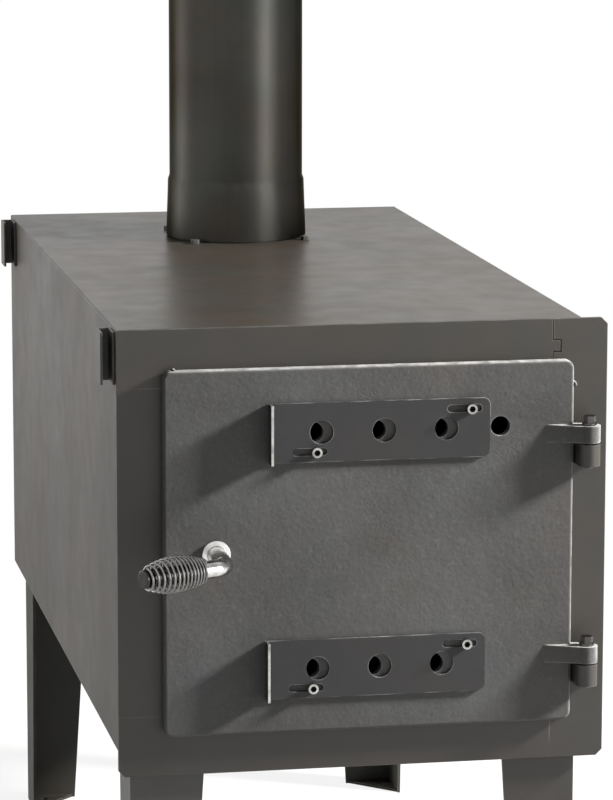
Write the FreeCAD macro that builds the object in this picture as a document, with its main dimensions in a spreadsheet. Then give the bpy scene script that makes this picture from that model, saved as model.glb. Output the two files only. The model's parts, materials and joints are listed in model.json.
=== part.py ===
"""Outdoor wood-burning stove: sheet-steel firebox on four legs, with a cast door and a flue pipe.

Millimetres, +Z up, the door faces -Y. While the pieces are built, x is 0 on the body's centre line,
y is 0 on the face of the front plate and z is 0 on the ground. At the end every piece is placed so
that the origin is under the middle of the whole stove.
"""
import FreeCAD, Part
import math
import os
import re

import Sketcher

Vector = FreeCAD.Vector

# Driving sizes, in millimetres unless the name says otherwise
SIZES = {
    # body
    "body_width": 370.0,
    "body_depth": 716.0,
    "body_height": 333.0,
    "sheet": 2.0,
    "edge_round": 1.6,
    "overrun": 5.0,
    # front plate
    "plate_thickness": 4.0,
    "plate_drop": 20.8,
    "hinge_overhang": 19.4,
    "top_rail_height": 46.0,
    "bottom_rail_height": 48.0,
    "left_stile_width": 48.0,
    "hinge_stile_width": 44.0,
    "plate_chamfer": 5.0,
    "seam_gap": 0.5,
    "seam_key_drop": 17.0,
    "seam_key_height": 9.0,
    "seam_key_length": 6.0,
    # door
    "door_inset_left": 34.9,
    "door_inset_top": 31.7,
    "door_inset_right": 28.8,
    "door_inset_bottom": 32.6,
    "door_thickness": 8.0,
    "door_gap": 1.0,
    "door_corner_radius": 7.0,
    "door_edge_radius": 2.5,
    "rib_clearance": 3.0,
    "rib_width": 5.0,
    "rib_depth": 4.5,
    # hinges
    "hinge_side_offset": 11.1,
    "barrel_radius": 8.7,
    "barrel_gap": 6.1,
    "lug_height": 13.6,
    "lug_reach": 33.5,
    "knuckle_height": 17.4,
    "knuckle_gap": 1.2,
    "upper_lug_drop": 51.0,
    "lower_lug_lift": 61.6,
    "pin_radius": 3.0,
    "pin_clearance": 0.06,
    "pin_head_radius": 5.2,
    "pin_head_height": 5.6,
    "pin_collar_radius": 6.0,
    "pin_collar_height": 1.6,
    "pin_play": 0.3,
    "pin_tail": 2.0,
    # vents
    "vent_hole_radius": 7.7,
    "vent_pitch_share": 0.152,
    "upper_first_hole_share": 0.362,
    "lower_first_hole_share": 0.3537,
    "upper_vent_drop": 50.6,
    "lower_vent_lift": 51.2,
    "slide_hole_radius": 9.25,
    "slide_offset": 6.0,
    "slide_left": 41.5,
    "slide_right_margin": 35.2,
    "slide_height": 47.0,
    "slide_sheet": 2.0,
    "slide_flange": 11.0,
    "slide_corner_radius": 6.0,
    "slide_play": 0.3,
    "slot_width": 5.6,
    "slot_open_run": 6.0,
    "slot_close_run": 16.0,
    "screw_height": 15.3,
    "left_screw_offset": 1.7,
    "right_screw_offset": 25.5,
    "screw_radius": 2.5,
    "screw_clearance": 0.1,
    "screw_head_radius": 4.0,
    "screw_head_height": 5.0,
    "socket_radius": 2.6,
    "socket_depth": 2.8,
    "screw_nut_radius": 4.6,
    "screw_nut_height": 4.0,
    "screw_tail": 1.5,
    # latch
    "latch_inset": 41.2,
    "rod_radius": 7.0,
    "rod_clearance": 0.08,
    "washer_radius": 11.2,
    "washer_thickness": 2.0,
    "latch_play": 0.3,
    "grip_standoff": 55.0,
    "grip_bend_radius": 15.0,
    "grip_tilt_degrees": 25.0,
    "grip_length": 76.0,
    "tongue_play": 0.6,
    "spacer_radius": 10.6,
    "tongue_thickness": 4.0,
    "tongue_width": 21.0,
    "tongue_overlap": 13.0,
    "latch_nut_radius": 11.0,
    "latch_nut_height": 8.0,
    "rod_tail": 2.0,
    # coil spring handle
    "spring_wire_radius": 1.0,
    "spring_start": 22.0,
    "spring_turns": 14.0,
    "spring_first_pitch": 2.75,
    "spring_last_pitch": 4.5,
    "spring_first_radius": 9.35,
    "spring_widest_radius": 13.4,
    "spring_seat_gap": 0.35,
    "spring_widest_share": 0.587,
    # flue
    "flue_depth_share": 0.75,
    "pipe_radius": 60.0,
    "pipe_wall": 0.8,
    "bell_top_radius": 61.4,
    "bell_foot_radius": 63.2,
    "bell_height": 50.0,
    "bell_lift": 1.5,
    "shoulder_height": 4.0,
    "pipe_rise": 400.0,
    "collar_gap": 0.5,
    "collar_wall": 1.5,
    "collar_seat_gap": 0.4,
    "collar_hole_clearance": 0.3,
    "collar_flange_radius": 80.0,
    "collar_bolt_circle_radius": 72.0,
    "collar_bolt_turn_degrees": -40.0,
    "collar_bolt_radius": 2.0,
    "collar_bolt_head_radius": 4.0,
    "collar_bolt_head_height": 3.6,
    "collar_nut_height": 4.0,
    "bolt_clearance": 0.1,
    "bolt_tail": 1.5,
    # shelf brackets
    "bracket_reach": 11.5,
    "bracket_depth": 25.0,
    "bracket_height": 41.0,
    "bracket_drop": 2.0,
    "bracket_sheet": 2.0,
    "bracket_setback": 1.0,
    "rear_bracket_inset": 20.0,
    # legs
    "leg_height": 235.0,
    "leg_inset_side": 6.0,
    "leg_set_offset": 4.0,
    "leg_inset_front": 4.0,
    "leg_inset_back": 3.0,
    "leg_sheet": 2.5,
    "leg_top_width": 60.0,
    "leg_foot_width": 45.0,
    "foot_hole_radius": 3.8,
    "foot_hole_inset": 14.0,
    "leg_bolt_near": 15.0,
    "leg_bolt_far": 34.0,
    "leg_bolt_radius": 3.0,
    "leg_bolt_head_radius": 5.7,
    "leg_bolt_head_height": 4.0,
    "leg_nut_height": 5.0,
    # fire grate
    "rail_lift": 40.0,
    "rail_width": 16.0,
    "rail_thickness": 3.0,
    "grate_length": 480.0,
    "grate_setback": 60.0,
    "grate_side_gap": 3.0,
    "grate_bar_width": 22.0,
    "grate_bar_height": 6.0,
    "grate_bar_inset": 60.0,
    "grate_rod_radius": 5.0,
    "grate_rod_sink": 1.5,
    "grate_rod_margin": 24.0,
}
GRATE_ROD_COUNT = 9
COLLAR_BOLT_COUNT = 4
UPPER_DOOR_HOLES = 4
LOWER_DOOR_HOLES = 3
SLIDE_HOLES = 3

doc = FreeCAD.newDocument("stove")
sheet = doc.addObject("Spreadsheet::Sheet", "Sizes")
for row, (alias, value) in enumerate(SIZES.items(), start=1):
    sheet.set("A%d" % row, alias)
    sheet.set("B%d" % row, repr(value))
    sheet.setAlias("B%d" % row, alias)
doc.recompute()

# Places that several pieces share, as formulas of the sizes
HALF = "(body_width / 2)"
TOP = "(leg_height + body_height)"
BACK = "(plate_thickness + body_depth)"
FLUE_Y = "(plate_thickness + flue_depth_share * body_depth)"
PLATE_RIGHT = "(body_width / 2 + hinge_overhang)"
PLATE_BOTTOM = "(leg_height - plate_drop)"
SEAM = "(body_width / 2 + hinge_overhang - hinge_stile_width)"
MOUTH_LEFT = "(left_stile_width - body_width / 2)"
MOUTH_TOP = "(leg_height + body_height - top_rail_height)"
MOUTH_BOTTOM = "(leg_height - plate_drop + bottom_rail_height)"
DOOR_LEFT = "(door_inset_left - body_width / 2)"
DOOR_RIGHT = "(body_width / 2 + hinge_overhang - door_inset_right)"
DOOR_WIDTH = "(body_width + hinge_overhang - door_inset_left - door_inset_right)"
DOOR_TOP = "(leg_height + body_height - door_inset_top)"
DOOR_BOTTOM = "(leg_height - plate_drop + door_inset_bottom)"
DOOR_BACK = "(0 - door_gap)"
DOOR_FACE = "(0 - door_gap - door_thickness)"
HINGE_X = "(body_width / 2 + hinge_overhang - door_inset_right + hinge_side_offset)"
HINGE_Y = "(0 - barrel_gap - barrel_radius)"
LATCH_X = "(door_inset_left + latch_inset - body_width / 2)"
LATCH_Z = "(leg_height + (body_height - door_inset_top - plate_drop + door_inset_bottom) / 2)"
PITCH = "(vent_pitch_share * (body_width + hinge_overhang - door_inset_left - door_inset_right))"
SLIDE_FACE = "(0 - door_gap - door_thickness - slide_play - slide_sheet)"
COLLAR_RADIUS = "(bell_top_radius - pipe_wall - collar_gap)"

nodes = []


def size(name):
    """The value of one named size, read from the sheet."""
    return float(sheet.get(name))


def formula(text):
    """Points each size name in a formula at its cell."""
    return re.sub(r"[a-z_]+", lambda m: "Sizes." + m.group(0) if m.group(0) in SIZES else m.group(0), text)


def bind(obj, **formulas):
    for prop, text in formulas.items():
        obj.setExpression(prop, formula(text))


def place(obj, x, y, z):
    obj.setExpression("Placement.Base.x", formula(x))
    obj.setExpression("Placement.Base.y", formula(y))
    obj.setExpression("Placement.Base.z", formula(z))


def keep(label, obj):
    """Names a finished piece and lists it for writing."""
    obj.Label = label
    nodes.append(obj)
    return obj


def block(name, low, span):
    box = doc.addObject("Part::Box", name)
    bind(box, Length=span[0], Width=span[1], Height=span[2])
    place(box, *low)
    return box


def turned(axis):
    """The turn that points a solid's own Z along a main axis."""
    if axis == "x":
        return FreeCAD.Rotation(Vector(0, 1, 0), 90)
    if axis == "y":
        return FreeCAD.Rotation(Vector(1, 0, 0), -90)
    return FreeCAD.Rotation()


def rod(name, axis, base, radius, length):
    cylinder = doc.addObject("Part::Cylinder", name)
    bind(cylinder, Radius=radius, Height=length)
    cylinder.Placement = FreeCAD.Placement(Vector(), turned(axis))
    place(cylinder, *base)
    return cylinder


def hexagon(name, axis, base, radius, length):
    prism = doc.addObject("Part::Prism", name)
    prism.Polygon = 6
    bind(prism, Circumradius=radius, Height=length)
    prism.Placement = FreeCAD.Placement(Vector(), turned(axis))
    place(prism, *base)
    return prism


def fuse(name, *pieces):
    joined = doc.addObject("Part::MultiFuse", name)
    joined.Shapes = list(pieces)
    joined.Refine = True
    return joined


def group(name, *pieces):
    together = doc.addObject("Part::Compound", name)
    together.Links = list(pieces)
    return together


def cut(name, base, *tools):
    taken = doc.addObject("Part::Cut", name)
    taken.Base = base
    taken.Tool = tools[0] if len(tools) == 1 else group(name + "_tools", *tools)
    taken.Refine = True
    return taken


def outline(body, name, role, offset, corners):
    """A closed outline on one of a body's origin planes, each corner held by two formulas."""
    plane = [feature for feature in body.Origin.OriginFeatures if feature.Role == role][0]
    sketch = body.newObject("Sketcher::SketchObject", name)
    sketch.AttachmentSupport = [(plane, "")]
    sketch.MapMode = "FlatFace"
    sketch.setExpression("AttachmentOffset.Base.z", formula(offset))
    count = len(corners)
    turns = [2 * math.pi * number / count for number in range(count)]
    start = [Vector(math.cos(turn), math.sin(turn), 0) for turn in turns]
    for number in range(count):
        sketch.addGeometry(Part.LineSegment(start[number], start[(number + 1) % count]), False)
    for number in range(count):
        sketch.addConstraint(Sketcher.Constraint("Coincident", number, 2, (number + 1) % count, 1))
    for number, corner in enumerate(corners):
        for kind, text in zip(("DistanceX", "DistanceY"), corner):
            index = sketch.addConstraint(Sketcher.Constraint(kind, -1, 1, number, 1, 1.0))
            title = "%s%d" % (kind[-1].lower(), number)
            sketch.renameConstraint(index, title)
            sketch.setExpression("Constraints." + title, formula(text))
    return sketch


def slab(name, role, offset, corners, thickness):
    """A flat piece padded from an outline, towards +Y, +X or +Z."""
    body = doc.addObject("PartDesign::Body", name)
    sketch = outline(body, name + "_outline", role, offset, corners)
    pad = body.newObject("PartDesign::Pad", name + "_pad")
    pad.Profile = sketch
    pad.Reversed = role == "XZ_Plane"
    bind(pad, Length=thickness)
    return body


def rectangle(left, bottom, right, top):
    return [(left, bottom), (right, bottom), (right, top), (left, top)]


def round_edges(body, name, radius, chosen):
    """Rounds the edges of a body that a test picks."""
    doc.recompute()
    edges = body.Tip.Shape.Edges
    picked = ["Edge%d" % number for number, edge in enumerate(edges, start=1) if chosen(edge)]
    base = body.Tip
    fillet = body.newObject("PartDesign::Fillet", name)
    fillet.Base = (base, picked)
    bind(fillet, Radius=radius)
    doc.recompute()
    return body


def runs_along(edge, axis):
    """True where an edge is straight and parallel to a main axis."""
    box = edge.BoundBox
    spans = {"x": box.XLength, "y": box.YLength, "z": box.ZLength}
    along = spans.pop(axis)
    return max(spans.values()) < 1e-3 * along


def flush(value, level):
    return abs(value - level) < 1e-4 * max(abs(level), 1)


# Body panels
def top_panel():
    sheet_top = slab(
        "top_blank", "XY_Plane", TOP + " - sheet",
        rectangle("0 - " + HALF, "plate_thickness", HALF, BACK), "sheet",
    )
    half = size("body_width") / 2
    top = size("leg_height") + size("body_height")
    back = size("plate_thickness") + size("body_depth")

    def outer_top(edge):
        box = edge.BoundBox
        if not flush(box.ZMin, top):
            return False
        side = runs_along(edge, "y") and flush(abs(box.XMin), half)
        return side or (runs_along(edge, "x") and flush(box.YMin, back))

    round_edges(sheet_top, "top_round", "edge_round", outer_top)
    holes = [rod("flue_hole", "z", ("0", FLUE_Y, TOP + " - sheet - overrun"),
                 COLLAR_RADIUS + " + collar_hole_clearance", "sheet + 2 * overrun")]
    for number in range(COLLAR_BOLT_COUNT):
        x, y = collar_bolt_place(number)
        holes.append(rod("top_bolt_hole_%d" % number, "z", (x, y, TOP + " - sheet - overrun"),
                         "collar_bolt_radius + bolt_clearance", "sheet + 2 * overrun"))
    keep("top_panel", cut("top_cut", sheet_top, *holes))


def collar_bolt_place(number):
    turn = "(collar_bolt_turn_degrees + %d * 360 / %d)" % (number, COLLAR_BOLT_COUNT)
    return (
        "collar_bolt_circle_radius * cos(%s)" % turn,
        "%s + collar_bolt_circle_radius * sin(%s)" % (FLUE_Y, turn),
    )


def wall_panels():
    low = "leg_height + sheet"
    high = TOP + " - sheet"
    side = rectangle("plate_thickness", low, BACK + " - sheet", high)
    keep("left_side_panel", slab("left_wall", "YZ_Plane", "0 - " + HALF, side, "sheet"))
    keep("right_side_panel", slab("right_wall", "YZ_Plane", HALF + " - sheet", side, "sheet"))
    rear = rectangle("0 - " + HALF, low, HALF, high)
    keep("back_panel", slab("rear_wall", "XZ_Plane", "sheet - " + BACK, rear, "sheet"))
    floor = slab(
        "floor_blank", "XY_Plane", "leg_height",
        rectangle("0 - " + HALF, "plate_thickness", HALF, BACK), "sheet",
    )
    holes = []
    for number, (x, y) in enumerate(leg_bolt_places()):
        holes.append(rod("floor_hole_%d" % number, "z", (x, y, "leg_height - overrun"),
                         "leg_bolt_radius + bolt_clearance", "sheet + 2 * overrun"))
    keep("bottom_panel", cut("floor_cut", floor, *holes))


# Front plate
def front_plate():
    left = "0 - " + HALF
    key_high = TOP + " - seam_key_drop"
    key_low = TOP + " - seam_key_drop - seam_key_height"
    top_rail = [
        (left, MOUTH_TOP), (SEAM, MOUTH_TOP), (SEAM, key_low),
        (SEAM + " + seam_key_length", key_low), (SEAM + " + seam_key_length", key_high),
        (SEAM, key_high), (SEAM, TOP), (left, TOP),
    ]
    keep("frame_top_rail", slab("top_rail", "XZ_Plane", "0", top_rail, "plate_thickness"))

    edge = SEAM + " + seam_gap"
    notch = SEAM + " + seam_key_length + seam_gap"
    stile = [
        (edge, PLATE_BOTTOM), (PLATE_RIGHT + " - plate_chamfer", PLATE_BOTTOM),
        (PLATE_RIGHT, PLATE_BOTTOM + " + plate_chamfer"), (PLATE_RIGHT, TOP + " - plate_chamfer"),
        (PLATE_RIGHT + " - plate_chamfer", TOP), (edge, TOP),
        (edge, key_high + " + seam_gap"), (notch, key_high + " + seam_gap"),
        (notch, key_low + " - seam_gap"), (edge, key_low + " - seam_gap"),
    ]
    keep("frame_hinge_stile", slab("hinge_stile", "XZ_Plane", "0", stile, "plate_thickness"))

    post = rectangle(left, MOUTH_BOTTOM, MOUTH_LEFT, MOUTH_TOP)
    keep("frame_left_stile", slab("left_stile", "XZ_Plane", "0", post, "plate_thickness"))

    sill = [
        (left + " + plate_chamfer", PLATE_BOTTOM), (edge, PLATE_BOTTOM), (edge, MOUTH_BOTTOM),
        (left, MOUTH_BOTTOM), (left, PLATE_BOTTOM + " + plate_chamfer"),
    ]
    keep("frame_bottom_rail", slab("bottom_rail", "XZ_Plane", "0", sill, "plate_thickness"))


# Hinges
def lug_bottom(which):
    if which == "upper":
        return DOOR_TOP + " - upper_lug_drop - lug_height"
    return DOOR_BOTTOM + " + lower_lug_lift - lug_height"


def hinge(which):
    floor = lug_bottom(which)
    base = floor + " - knuckle_gap - knuckle_height"
    barrel = rod(which + "_barrel", "z", (HINGE_X, HINGE_Y, base), "barrel_radius", "knuckle_height")
    foot = block(
        which + "_foot", (HINGE_X + " - barrel_radius", HINGE_Y, base),
        ("2 * barrel_radius", "barrel_radius + barrel_gap", "knuckle_height"),
    )
    bore = rod(which + "_knuckle_bore", "z", (HINGE_X, HINGE_Y, base + " - overrun"),
               "pin_radius + pin_clearance", "knuckle_height + 2 * overrun")
    knuckle = cut(which + "_knuckle_cut", fuse(which + "_knuckle_blank", barrel, foot), bore)
    keep(which + "_hinge_knuckle", knuckle)

    seat = floor + " + lug_height + pin_play"
    tail = base + " - pin_tail"
    shank = rod(which + "_shank", "z", (HINGE_X, HINGE_Y, tail), "pin_radius",
                "lug_height + pin_play + knuckle_gap + knuckle_height + pin_tail")
    collar = rod(which + "_pin_collar", "z", (HINGE_X, HINGE_Y, seat),
                 "pin_collar_radius", "pin_collar_height")
    head = hexagon(which + "_pin_head", "z", (HINGE_X, HINGE_Y, seat + " + pin_collar_height"),
                   "pin_head_radius", "pin_head_height")
    keep(which + "_hinge_pin", fuse(which + "_pin", shank, collar, head))


# Door
def vent_place(which):
    """The first door hole of a vent, and the height of its row."""
    if which == "upper":
        return DOOR_LEFT + " + upper_first_hole_share * " + DOOR_WIDTH, DOOR_TOP + " - upper_vent_drop"
    return DOOR_LEFT + " + lower_first_hole_share * " + DOOR_WIDTH, DOOR_BOTTOM + " + lower_vent_lift"


def vent_screw_places(which):
    x, z = vent_place(which)
    return [
        (x + " + left_screw_offset", z + " - screw_height"),
        ("%s + %d * %s + right_screw_offset" % (x, SLIDE_HOLES - 1, PITCH), z + " + screw_height"),
    ]


def door():
    plate = slab(
        "door_plate", "XZ_Plane", "door_gap + door_thickness",
        rectangle(DOOR_LEFT, DOOR_BOTTOM, DOOR_RIGHT, DOOR_TOP), "door_thickness",
    )
    face = -size("door_gap") - size("door_thickness")
    round_edges(plate, "door_corners", "door_corner_radius", lambda edge: runs_along(edge, "y"))
    round_edges(plate, "door_edges", "door_edge_radius",
                lambda edge: flush(edge.BoundBox.YMin, face) and flush(edge.BoundBox.YMax, face))

    ring = block(
        "rib_outside", (MOUTH_LEFT + " + rib_clearance", DOOR_BACK, MOUTH_BOTTOM + " + rib_clearance"),
        (SEAM + " - " + MOUTH_LEFT + " - 2 * rib_clearance", "rib_depth",
         MOUTH_TOP + " - " + MOUTH_BOTTOM + " - 2 * rib_clearance"),
    )
    inner = block(
        "rib_inside",
        (MOUTH_LEFT + " + rib_clearance + rib_width", DOOR_BACK + " - overrun",
         MOUTH_BOTTOM + " + rib_clearance + rib_width"),
        (SEAM + " - " + MOUTH_LEFT + " - 2 * rib_clearance - 2 * rib_width", "rib_depth + 2 * overrun",
         MOUTH_TOP + " - " + MOUTH_BOTTOM + " - 2 * rib_clearance - 2 * rib_width"),
    )
    pieces = [plate, cut("door_rib", ring, inner)]

    for which in ("upper", "lower"):
        floor = lug_bottom(which)
        tip = DOOR_RIGHT + " + hinge_side_offset - lug_reach"
        horn = [
            (tip, DOOR_FACE), (HINGE_X, HINGE_Y + " - barrel_radius"),
            (HINGE_X, HINGE_Y + " + barrel_radius"), (DOOR_RIGHT + " - door_edge_radius", DOOR_BACK),
            (tip, DOOR_BACK),
        ]
        pieces.append(slab(which + "_horn", "XY_Plane", floor, horn, "lug_height"))
        pieces.append(rod(which + "_lug", "z", (HINGE_X, HINGE_Y, floor), "barrel_radius", "lug_height"))

    holes = []
    for which, count in (("upper", UPPER_DOOR_HOLES), ("lower", LOWER_DOOR_HOLES)):
        x, z = vent_place(which)
        for number in range(count):
            holes.append(rod("%s_vent_%d" % (which, number), "y",
                             ("%s + %d * %s" % (x, number, PITCH), DOOR_FACE + " - overrun", z),
                             "vent_hole_radius", "door_thickness + 2 * overrun"))
        for number, (screw_x, screw_z) in enumerate(vent_screw_places(which)):
            holes.append(rod("%s_screw_hole_%d" % (which, number), "y",
                             (screw_x, DOOR_FACE + " - overrun", screw_z),
                             "screw_radius + screw_clearance", "door_thickness + 2 * overrun"))
        holes.append(rod(which + "_lug_bore", "z", (HINGE_X, HINGE_Y, lug_bottom(which) + " - overrun"),
                         "pin_radius + pin_clearance", "lug_height + 2 * overrun"))
    holes.append(rod("latch_bore", "y", (LATCH_X, DOOR_FACE + " - overrun", LATCH_Z),
                     "rod_radius + rod_clearance", "door_thickness + 2 * overrun"))
    keep("door", cut("door_cut", fuse("door_blank", *pieces), *holes))


# Vent slides with their screws
def vent_slide(which):
    x, z = vent_place(which)
    first = x + " + slide_offset"
    left = first + " - slide_left"
    right = "%s + %d * %s + slide_right_margin" % (first, SLIDE_HOLES - 1, PITCH)
    low = z + " - slide_height / 2"
    plate = slab(
        which + "_slide_plate", "XZ_Plane", "0 - " + SLIDE_FACE,
        rectangle(left, low, right, low + " + slide_height"), "slide_sheet",
    )
    doc.recompute()
    right_edge = plate.Shape.BoundBox.XMax
    round_edges(plate, which + "_slide_corners", "slide_corner_radius",
                lambda edge: runs_along(edge, "y") and flush(edge.BoundBox.XMin, right_edge))
    flange = block(which + "_slide_flange", (left, SLIDE_FACE + " - slide_flange", low),
                   ("slide_sheet", "slide_flange + slide_sheet", "slide_height"))
    depth = SLIDE_FACE + " - overrun"
    through = "slide_sheet + 2 * overrun"
    holes = []
    for number in range(SLIDE_HOLES):
        holes.append(rod("%s_slide_hole_%d" % (which, number), "y",
                         ("%s + %d * %s" % (first, number, PITCH), depth, z), "slide_hole_radius", through))
    for number, (screw_x, screw_z) in enumerate(vent_screw_places(which)):
        name = "%s_slot_%d" % (which, number)
        closing = screw_x + " - slot_close_run"
        holes.append(rod(name + "_close", "y", (closing, depth, screw_z), "slot_width / 2", through))
        holes.append(rod(name + "_open", "y", (screw_x + " + slot_open_run", depth, screw_z),
                         "slot_width / 2", through))
        holes.append(block(name + "_run", (closing, depth, screw_z + " - slot_width / 2"),
                           ("slot_close_run + slot_open_run", through, "slot_width")))
    blank = fuse(which + "_slide_blank", plate, flange)
    keep(which + "_vent_slide", cut(which + "_slide_cut", blank, fuse(which + "_slide_holes", *holes)))


def vent_fasteners():
    screws = []
    nuts = []
    for which in ("upper", "lower"):
        for number, (x, z) in enumerate(vent_screw_places(which)):
            name = "%s_vent_screw_%d" % (which, number)
            seat = SLIDE_FACE + " - slide_play"
            head = rod(name + "_head", "y", (x, seat + " - screw_head_height", z),
                       "screw_head_radius", "screw_head_height")
            shank = rod(name + "_shank", "y", (x, seat, z), "screw_radius",
                        "2 * slide_play + slide_sheet + door_thickness + screw_nut_height + screw_tail")
            socket = hexagon(name + "_socket", "y", (x, seat + " - screw_head_height - overrun", z),
                             "socket_radius", "socket_depth + overrun")
            screws.append(cut(name, fuse(name + "_blank", head, shank), socket))
            nut = hexagon(name + "_nut", "y", (x, DOOR_BACK, z), "screw_nut_radius", "screw_nut_height")
            thread = rod(name + "_thread", "y", (x, DOOR_BACK + " - overrun", z),
                         "screw_radius + screw_clearance", "screw_nut_height + 2 * overrun")
            nuts.append(cut(name + "_nut_cut", nut, thread))
    keep("vent_screws", group("screw_set", *screws))
    keep("vent_nuts", group("nut_set", *nuts))


# Latch with its handle
def ring(name, base, outer, inner, thickness):
    disc = rod(name + "_disc", "y", base, outer, thickness)
    hole = rod(name + "_hole", "y", (base[0], base[1] + " - overrun", base[2]), inner,
               thickness + " + 2 * overrun")
    return cut(name, disc, hole)


def latch():
    bore = "rod_radius + rod_clearance"
    tongue_face = "plate_thickness + tongue_play"
    washer = (LATCH_X, DOOR_FACE + " - latch_play - washer_thickness", LATCH_Z)
    keep("latch_washer", ring("washer", washer, "washer_radius", bore, "washer_thickness"))
    spacer = (LATCH_X, DOOR_BACK + " + latch_play", LATCH_Z)
    keep("latch_spacer", ring("spacer", spacer, "spacer_radius", bore,
                              "plate_thickness + tongue_play + door_gap - latch_play"))

    reach = LATCH_X + " - " + MOUTH_LEFT + " + tongue_overlap"
    bar = block("tongue_bar", (LATCH_X + " - tongue_width / 2", tongue_face, LATCH_Z),
                ("tongue_width", "tongue_thickness", reach + " - tongue_width / 2"))
    heel = rod("tongue_heel", "y", (LATCH_X, tongue_face, LATCH_Z), "tongue_width / 2", "tongue_thickness")
    toe = rod("tongue_toe", "y", (LATCH_X, tongue_face, LATCH_Z + " + " + reach + " - tongue_width / 2"),
              "tongue_width / 2", "tongue_thickness")
    hole = rod("tongue_hole", "y", (LATCH_X, tongue_face + " - overrun", LATCH_Z), bore,
               "tongue_thickness + 2 * overrun")
    keep("latch_tongue", cut("tongue_cut", fuse("tongue_blank", bar, heel, toe), hole))

    nut_face = tongue_face + " + tongue_thickness"
    nut = hexagon("latch_nut_blank", "y", (LATCH_X, nut_face, LATCH_Z),
                  "latch_nut_radius", "latch_nut_height")
    thread = rod("latch_nut_thread", "y", (LATCH_X, nut_face + " - overrun", LATCH_Z), bore,
                 "latch_nut_height + 2 * overrun")
    keep("latch_nut", cut("latch_nut_cut", nut, thread))

    # the rod runs out of the door, bends to the left and carries the grip
    turn = "(90 - grip_tilt_degrees)"
    tangent = "(grip_bend_radius * tan(%s / 2))" % turn
    bend_y = "(%s - grip_standoff)" % tangent
    rear = nut_face + " + latch_nut_height + rod_tail"
    shaft = rod("latch_shaft", "y", (LATCH_X, bend_y, LATCH_Z), "rod_radius", rear + " - " + bend_y)
    bend = doc.addObject("Part::Torus", "latch_bend")
    bind(bend, Radius1="grip_bend_radius", Radius2="rod_radius", Angle3=turn)
    start = FreeCAD.Rotation(Vector(0, 0, 1), size("grip_tilt_degrees") - 90)
    bend.Placement = FreeCAD.Placement(Vector(), start)
    place(bend, LATCH_X + " - grip_bend_radius", bend_y, LATCH_Z)
    grip = doc.addObject("Part::Cylinder", "latch_grip")
    bind(grip, Radius="rod_radius", Height="grip_length - " + tangent)
    grip.Placement = FreeCAD.Placement(Vector(), FreeCAD.Rotation(Vector(0, 0, 1), grip_direction()))
    place(grip, LATCH_X + " - %s * cos(grip_tilt_degrees)" % tangent,
          "0 - grip_standoff - %s * sin(grip_tilt_degrees)" % tangent, LATCH_Z)
    keep("latch_rod", fuse("latch_rod_blank", shaft, bend, grip))


def grip_direction():
    tilt = math.radians(size("grip_tilt_degrees"))
    return Vector(-math.cos(tilt), -math.sin(tilt), 0)


def spring_centre(turn_share):
    """A point on the middle of the spring's wire: the share is 0 near the bend and 1 at the grip's end."""
    turns = size("spring_turns")
    first = size("spring_first_pitch")
    last = size("spring_last_pitch")
    widest = size("spring_widest_radius")
    end_radius = size("rod_radius") + size("spring_seat_gap") + size("spring_wire_radius")
    widest_share = size("spring_widest_share")
    if turn_share < widest_share:
        start = size("spring_first_radius")
        radius = start + (widest - start) * math.sin(math.pi / 2 * turn_share / widest_share)
    else:
        past_share = (turn_share - widest_share) / (1 - widest_share)
        radius = end_radius + (widest - end_radius) * math.cos(math.pi / 2 * past_share)
    along = turns * (first * turn_share + (last - first) * turn_share ** 2 / 2)
    angle = 2 * math.pi * turns * turn_share
    return Vector(radius * math.cos(angle), radius * math.sin(angle), along)


def spring_heading(turn_share):
    step = 1e-5
    heading = spring_centre(min(turn_share + step, 1)) - spring_centre(max(turn_share - step, 0))
    return heading.normalize()


def arc_through(start, corner, end):
    """The arc from start to end that is tangent to the lines through their common corner."""
    middle = (start + end) / 2
    half_turn = math.atan2((corner - middle).Length, (end - start).Length / 2)
    top = middle + (corner - middle) * (math.tan(half_turn / 2) / math.tan(half_turn))
    return Part.Arc(start, top, end).toShape()


def biarc(start, start_heading, end, end_heading):
    """Two arcs that join two points along their headings."""
    chord = end - start
    both = start_heading + end_heading
    bend = 2 * (1 - start_heading.dot(end_heading))
    along = chord.dot(both)
    reach = (math.sqrt(along ** 2 + bend * chord.dot(chord)) - along) / bend
    first = start + start_heading * reach
    second = end - end_heading * reach
    joint = (first + second) / 2
    return [arc_through(start, first, joint), arc_through(joint, second, end)]


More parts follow.
